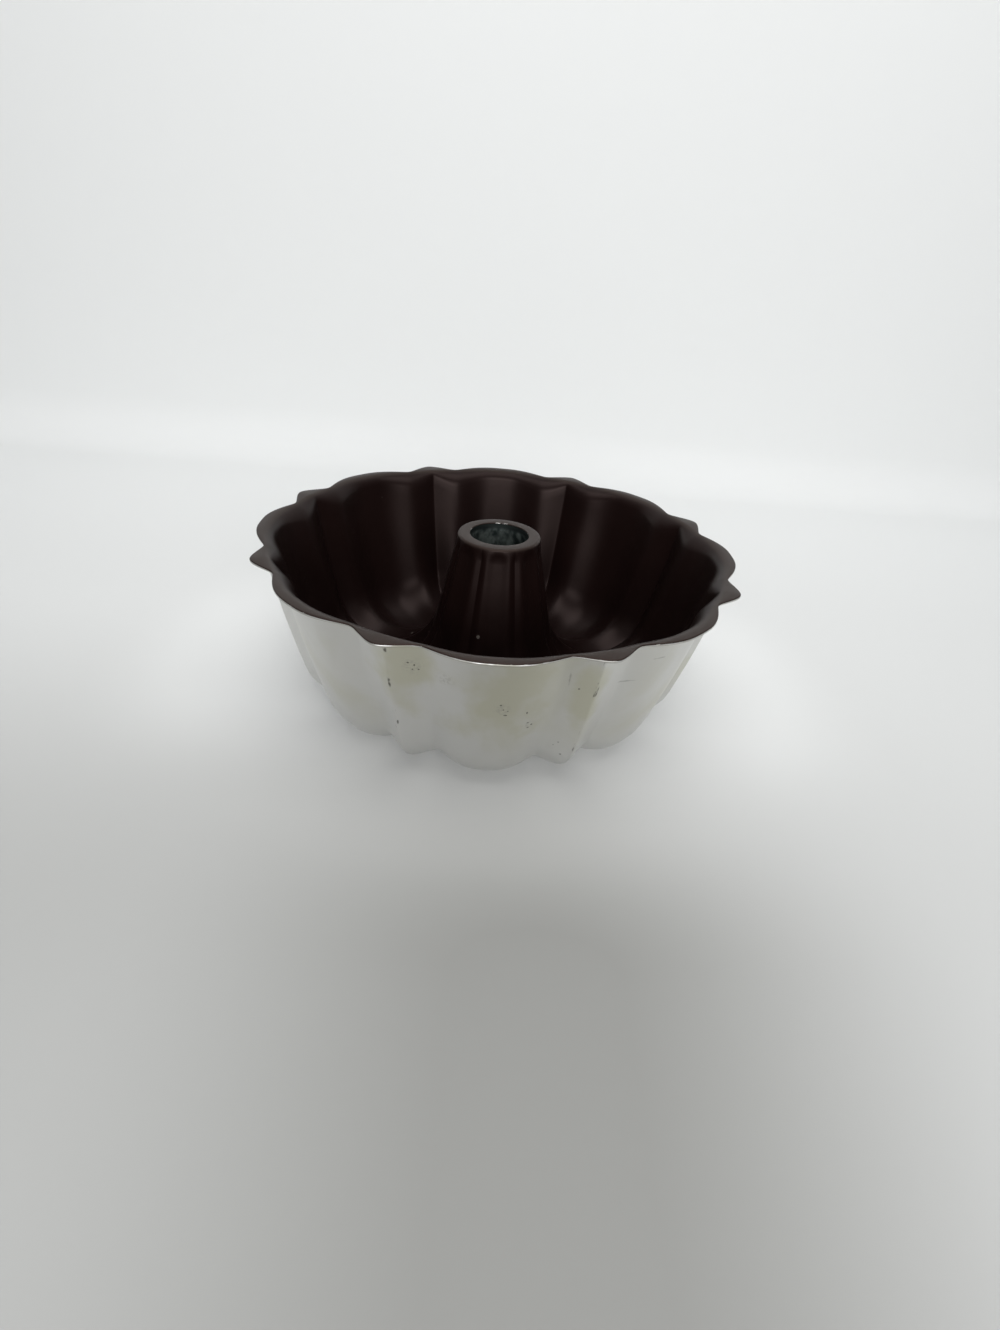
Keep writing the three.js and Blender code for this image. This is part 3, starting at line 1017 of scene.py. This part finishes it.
# %% Colour of the coating
COATING_BROWN = (0.0098, 0.0045, 0.004)
COATING_DARK = (0.0052, 0.0024, 0.0021)
COATING_PAINTED_SHEEN = (0.024, 0.0165, 0.0135)
DUST = (0.1, 0.088, 0.078)
SCUFF_COLOUR = (0.006, 0.003, 0.003)
DUST_SPOTS = [
    ((-7.7, -31.9, 45.9), (1, 2, 1.2)),
    ((50.6, 47.8, 3.2), (0.8, 0.8, 2)),
    ((-49.2, 23.7, 13.4), (0.8, 0.8, 2)),
]
DUST_SPACING, DUST_RADIUS, DUST_SHARE, DUST_STRENGTH = 11 * MM, 0.28 * MM, 0.1, 0.5
SCUFFS = [
    ((4.4, -23.8, 82.7), (3.2, 3, 0.35)),
    ((-8.6, -31.2, 49), (1.6, 3, 1)),
]
MOTTLE_SCALE = 34
PAST_THE_TUBE = (50 * MM, 60 * MM)  # outside this the lip counts as high as the tube's ring
PAINTED_SHEEN_HEIGHTS = (TUBE_TOP - 1.9 * MM, TUBE_TOP - 0.3 * MM)

nonstick, tree, shader = new_finish("nonstick_coating")
spot = object_coordinates(tree)
radius, height = radius_and_height(spot)
mottle = noise(spot, MOTTLE_SCALE, detail=5)
fine = noise(spot, FINE_SCALE)
colour = mixed(mottle, COATING_DARK, COATING_BROWN)
# Painted sheen: the lip's top and the tube's ring are made paler and warmer.
level = height + between(radius, *PAST_THE_TUBE) * TUBE_RISE
colour = mixed(between(level, *PAINTED_SHEEN_HEIGHTS), colour, COATING_PAINTED_SHEEN)
fine_dust = specks(spot, DUST_SPACING, DUST_RADIUS, DUST_SHARE) * DUST_STRENGTH
dust = all_marks(spot, DUST_SPOTS, fine).math("MAXIMUM", fine_dust)
colour = mixed(all_marks(spot, SCUFFS, fine), colour, SCUFF_COLOUR)
colour = mixed(dust, colour, DUST)
print("dust spots and scuffs:", len(DUST_SPOTS), len(SCUFFS))

# %% [markdown]
# Along its edges on the lip and round the bore the film is chipped, and metal shows through. The mesh
# carries the distance from those edges, so the chips keep to them. The film's reflections are warm, and
# weaker than those of most plastics, which is why the inside of the pan looks so dark.

# %% Chips, gloss and relief of the coating
CHIPPED_METAL = (0.62, 0.61, 0.58)
WORN_SCALE, WORN_ROUGHNESS, WORN_LEVELS = 210, 0.65, (0.57, 0.66)
CHIP_REACH, CHIP_RAGGED = (0.45 * MM, 0.65 * MM), 0.5 * MM
FILM_ROUGHNESS, GLOSS_DRIFT, CHIP_POLISH = 0.31, 0.12, 0.12
COATING_IOR = 1.35
COATING_SPECULAR = 0.3
COATING_SHEEN = (1, 0.77, 0.73)
SPRAY_SCALE = 1700
RUN_DEPTH, SPRAY_DEPTH, CHIP_DEPTH = 0.15 * MM, 0.004 * MM, 0.08 * MM

from_edge = surface_value(tree, "from_edge")
worn = between(noise(spot, WORN_SCALE, detail=4, roughness=WORN_ROUGHNESS), *WORN_LEVELS)
chips = worn * (1 - between(from_edge + fine * CHIP_RAGGED, *CHIP_REACH))
plug(shader.inputs["Base Color"], mixed(chips, colour, CHIPPED_METAL))
plug(shader.inputs["Metallic"], chips)
plug(shader.inputs["Roughness"], mottle * GLOSS_DRIFT + FILM_ROUGHNESS - chips * CHIP_POLISH)
shader.inputs["IOR"].default_value = COATING_IOR
shader.inputs["Specular IOR Level"].default_value = COATING_SPECULAR
shader.inputs["Specular Tint"].default_value = (*COATING_SHEEN, 1)
film = bumped(noise(spot, SPRAY_SCALE, detail=2), SPRAY_DEPTH, bumped(mottle, RUN_DEPTH))
plug(shader.inputs["Normal"], bumped(1 - chips, CHIP_DEPTH, film))
print("nodes in the coating:", len(tree.nodes))

# %% [markdown]
# ## The two pieces
#
# Each piece replaces its node of the frame and rides on the part's only body. Both end on the lip, in
# their first row, and the coating ends round the bore too. A mesh that is inside out can look right in a
# render, so the volume is printed as well: it is positive only if the faces point outwards.

# %% Casting and coating
MILLILITRE = 1e-6  # in cubic metres


def signed_volume(mesh):
    """Volume in millilitres, positive where the faces point outwards."""
    total = 0.0
    for face in mesh.loop_triangles:
        a, b, c = (mesh.vertices[corner].co for corner in face.vertices)
        total += a.dot(b.cross(c)) / 6  # the pyramid from the origin to the face
    return total / MILLILITRE


casting = fluted_ring("pan_casting", casting_outline, [0], cast_aluminium)
coating = fluted_ring(
    "pan_coating",
    coating_outline,
    [0, len(coated_side(WIDE, 0, 0, 0)) + NOSE_STEPS],
    nonstick,
)
for piece, node, slot in (
    (casting, "cast_shell", "cast_aluminium"),
    (coating, "nonstick_lining", "nonstick_coating"),
):
    piece.data.calc_loop_triangles()
    print(piece.name, len(piece.data.loop_triangles), "triangles,", signed_volume(piece.data), "ml")
    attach(piece, "root")
    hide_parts(node)

# %% [markdown]
# ## Floor and wall
#
# The pan stands on pale paper that bends up into a wall. In the photograph the paper is greyer towards
# the camera and palest behind the pan, and the metal mirrors that. The lamps don't give that, so it is
# painted into the paper's colour by its place on the floor: painted shade towards the front and painted
# light beside the pan.

# %% Backdrop
STAGE_HALF_WIDTH = 1.5  # metres, as all sizes of the stage
STAGE_FRONT, WALL_PLACE, WALL_HEIGHT = -1.3, 0.42, 1.6
BEND_RADIUS, BEND_STEPS = 0.05, 8

bend_centre = Vector((WALL_PLACE - BEND_RADIUS, BEND_RADIUS))
stage_line = [
    Vector((STAGE_FRONT, 0)),
    *arc(bend_centre, BEND_RADIUS, DOWN, 0, BEND_STEPS),
    Vector((WALL_PLACE, WALL_HEIGHT)),
]
stage_mesh = bpy.data.meshes.new("backdrop")
stage_mesh.from_pydata(
    [(side * STAGE_HALF_WIDTH, point.x, point.y) for side in (-1, 1) for point in stage_line],
    [],
    [
        (step, step + len(stage_line), step + 1 + len(stage_line), step + 1)
        for step in range(len(stage_line) - 1)
    ],
)
stage_mesh.shade_smooth()
backdrop = bpy.data.objects.new("backdrop", stage_mesh)
bpy.context.scene.collection.objects.link(backdrop)
print("faces of the backdrop:", len(stage_mesh.polygons))

# %% Paper with painted shade and light
FLOOR_WHITE = (0.82, 0.83, 0.826)
FLOOR_SHADE = (0.29, 0.29, 0.278)
PAPER_ROUGHNESS = 0.7
# Ranges in metres on the floor: along runs away from the camera, across to its right.
WIDE_ALONG, WIDE_ACROSS = (-0.2, 0.08), (-0.15, 0.4)
WIDE_RIGHT_LOSS = 0.7  # how much of the wide shade is lost on the right
NEAR_ALONG, NEAR_ASIDE, NEAR_MIDDLE = (-0.2, -0.09), (0, 0.18), 0.035
SLOPE_ALONG = (0, 0.35)
BESIDE_DISTANCE, BESIDE_ALONG = (0.1, 0.24), (-0.12, -0.04)
WIDE_STRENGTH, NEAR_STRENGTH, SLOPE_STRENGTH, BESIDE_RELIEF = 0.48, 0.42, 0.22, 0.3

pale, tree, shader = new_finish("paper_with_painted_shade")
axes = add_node(tree, "ShaderNodeSeparateXYZ", {"Vector": object_coordinates(tree)})
across, along = Wire(axes.outputs["X"]), Wire(axes.outputs["Y"])
aside = (across - NEAR_MIDDLE).math("ABSOLUTE")
distance = (across * across + along * along).math("SQRT")
# Painted shade: darker in front of the pan and towards the camera, where shadows fall on the floor.
wide_shade = (1 - between(along, *WIDE_ALONG)) * (1 - between(across, *WIDE_ACROSS) * WIDE_RIGHT_LOSS)
near_shade = (1 - between(along, *NEAR_ALONG)) * (1 - between(aside, *NEAR_ASIDE))
slope_shade = 1 - between(along, *SLOPE_ALONG)
# Painted light: the paper beside the pan is made paler, as if lit by light off the pan's sides.
beside = (1 - between(distance, *BESIDE_DISTANCE)) * between(along, *BESIDE_ALONG)
shade = wide_shade * WIDE_STRENGTH + near_shade * NEAR_STRENGTH + slope_shade * SLOPE_STRENGTH
shade = shade - beside * BESIDE_RELIEF
plug(shader.inputs["Base Color"], mixed(shade, FLOOR_WHITE, FLOOR_SHADE))
shader.inputs["Roughness"].default_value = PAPER_ROUGHNESS
stage_mesh.materials.append(pale)
print("nodes in the paper:", len(tree.nodes))

# %% [markdown]
# ## Light
#
# The light in the photograph is soft. It comes from above and, low, from the camera's side: inside the
# pan the faces towards the camera are brown and the others nearly black. Two large area lamps give that
# with no hard shadow, and a faint world fills in the rest.

# %% Lamps and world
LAMPS = {
    "window": SimpleNamespace(
        place=(0.05, -1.35, 0.6), aim=(0, 0.1, 0.1), width=1.3, depth=0.6, power=14.5
    ),
    "ceiling": SimpleNamespace(
        place=(0.05, -0.2, 1.3), aim=(0.05, 0.1, 0), width=1.4, depth=0.9, power=11
    ),
}
WORLD_COLOUR = (0.95, 0.98, 1)
WORLD_STRENGTH = 0.12

for name, made in LAMPS.items():
    lamp = bpy.data.lights.new(name, "AREA")
    lamp.shape = "RECTANGLE"
    lamp.size = made.width
    lamp.size_y = made.depth
    lamp.energy = made.power
    holder = bpy.data.objects.new(name, lamp)
    holder.matrix_world = Matrix.Translation(made.place) @ aimed(made.place, made.aim).to_4x4()
    bpy.context.scene.collection.objects.link(holder)

world = bpy.data.worlds.new("tent")
world.use_nodes = True
background = world.node_tree.nodes["Background"]
background.inputs["Color"].default_value = (*WORLD_COLOUR, 1)
background.inputs["Strength"].default_value = WORLD_STRENGTH
bpy.context.scene.world = world
bpy.context.scene.view_settings.view_transform = "Standard"
print("lamps:", len(LAMPS))
